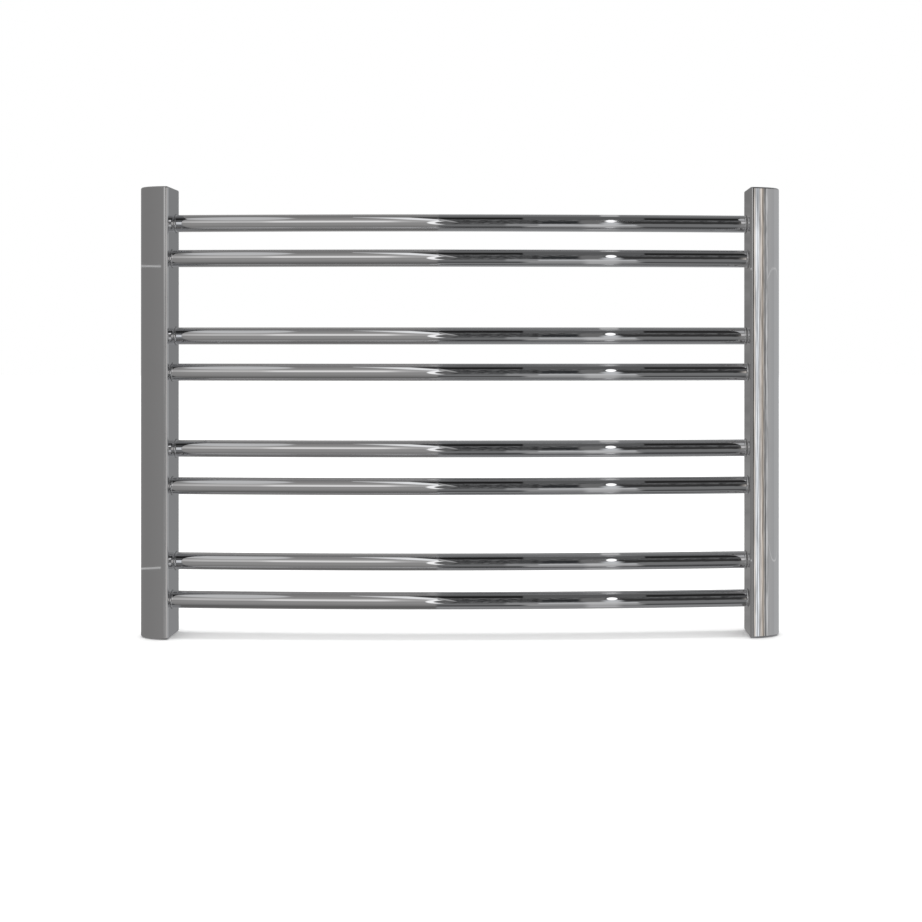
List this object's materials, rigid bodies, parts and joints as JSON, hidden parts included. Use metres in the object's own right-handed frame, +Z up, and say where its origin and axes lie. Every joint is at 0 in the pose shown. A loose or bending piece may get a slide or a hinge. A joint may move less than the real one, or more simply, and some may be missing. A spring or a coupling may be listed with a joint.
{
  "type": "towel warmer rack",
  "caption": "Chromed ladder towel warmer: two D-section uprights joined by bowed round tubes in staggered pairs, on hidden wall brackets.",
  "frame": {"origin": "on the wall, behind the middle of the rack's width and height", "axes": "+X to the right as seen from the room, along the tubes; +Y into the wall; +Z up"},
  "size_m": [0.6, 0.1176, 0.42],
  "materials": {
    "rack_chrome": "mirror-polished chrome plate on steel",
    "bracket_chrome": "chrome plate over turned brass",
    "socket_steel": "turned steel, chromed outside, bare in the thread",
    "plug_nickel": "nickel-plated brass",
    "screw_zinc": "bright zinc-plated steel",
    "seal_rubber": "moulded black rubber"
  },
  "bodies": {
    "wall_side": {"wall_cup_top_left": "bracket_chrome", "wall_screw_top_left": "screw_zinc", "wall_cup_bottom_left": "bracket_chrome", "wall_screw_bottom_left": "screw_zinc", "wall_cup_top_right": "bracket_chrome", "wall_screw_top_right": "screw_zinc", "wall_cup_bottom_right": "bracket_chrome", "wall_screw_bottom_right": "screw_zinc"},
    "rack": {"upright_left": "rack_chrome", "inlet_socket_left": "socket_steel", "port_boss_left": "rack_chrome", "port_seal_left": "seal_rubber", "end_plate_top_left": "rack_chrome", "bracket_post_top_left": "bracket_chrome", "end_plate_bottom_left": "rack_chrome", "bracket_post_bottom_left": "bracket_chrome", "upright_right": "rack_chrome", "inlet_socket_right": "socket_steel", "port_boss_right": "rack_chrome", "port_seal_right": "seal_rubber", "end_plate_top_right": "rack_chrome", "bracket_post_top_right": "bracket_chrome", "end_plate_bottom_right": "rack_chrome", "bracket_post_bottom_right": "bracket_chrome", "tube_1_upper": "rack_chrome", "braze_1_upper_left": "rack_chrome", "braze_1_upper_right": "rack_chrome", "tube_1_lower": "rack_chrome", "braze_1_lower_left": "rack_chrome", "braze_1_lower_right": "rack_chrome", "tube_2_upper": "rack_chrome", "braze_2_upper_left": "rack_chrome", "braze_2_upper_right": "rack_chrome", "tube_2_lower": "rack_chrome", "braze_2_lower_left": "rack_chrome", "braze_2_lower_right": "rack_chrome", "tube_3_upper": "rack_chrome", "braze_3_upper_left": "rack_chrome", "braze_3_upper_right": "rack_chrome", "tube_3_lower": "rack_chrome", "braze_3_lower_left": "rack_chrome", "braze_3_lower_right": "rack_chrome", "tube_4_upper": "rack_chrome", "braze_4_upper_left": "rack_chrome", "braze_4_upper_right": "rack_chrome", "tube_4_lower": "rack_chrome", "braze_4_lower_left": "rack_chrome", "braze_4_lower_right": "rack_chrome", "vent_body": "plug_nickel", "blanking_plug": "plug_nickel"},
    "bleed_screw": {"bleed_screw": "plug_nickel"},
    "grub_screw_top_left": {"grub_screw_top_left": "screw_zinc"},
    "grub_screw_bottom_left": {"grub_screw_bottom_left": "screw_zinc"},
    "grub_screw_top_right": {"grub_screw_top_right": "screw_zinc"},
    "grub_screw_bottom_right": {"grub_screw_bottom_right": "screw_zinc"}
  },
  "joints": [
    {"name": "wall_distance", "type": "slide", "parent": "wall_side", "child": "rack", "axis": [0, -1, 0], "range_m": [-0.004, 0.01]},
    {"name": "bleed_turn", "type": "hinge", "parent": "rack", "child": "bleed_screw", "pos_m": [-0.285, -0.0292, 0.19], "axis": [0, 1, 0], "range_deg": [0, 270]},
    {"name": "grub_turn_top_left", "type": "hinge", "parent": "wall_side", "child": "grub_screw_top_left", "pos_m": [-0.291, -0.025, 0.124], "axis": [0, 0, -1], "range_deg": [0, 540]},
    {"name": "grub_turn_top_right", "type": "hinge", "parent": "wall_side", "child": "grub_screw_top_right", "pos_m": [0.291, -0.025, 0.124], "axis": [0, 0, -1], "range_deg": [0, 540]},
    {"name": "grub_turn_bottom_left", "type": "hinge", "parent": "wall_side", "child": "grub_screw_bottom_left", "pos_m": [-0.291, -0.025, -0.124], "axis": [0, 0, -1], "range_deg": [0, 540]},
    {"name": "grub_turn_bottom_right", "type": "hinge", "parent": "wall_side", "child": "grub_screw_bottom_right", "pos_m": [0.291, -0.025, -0.124], "axis": [0, 0, -1], "range_deg": [0, 540]}
  ]
}
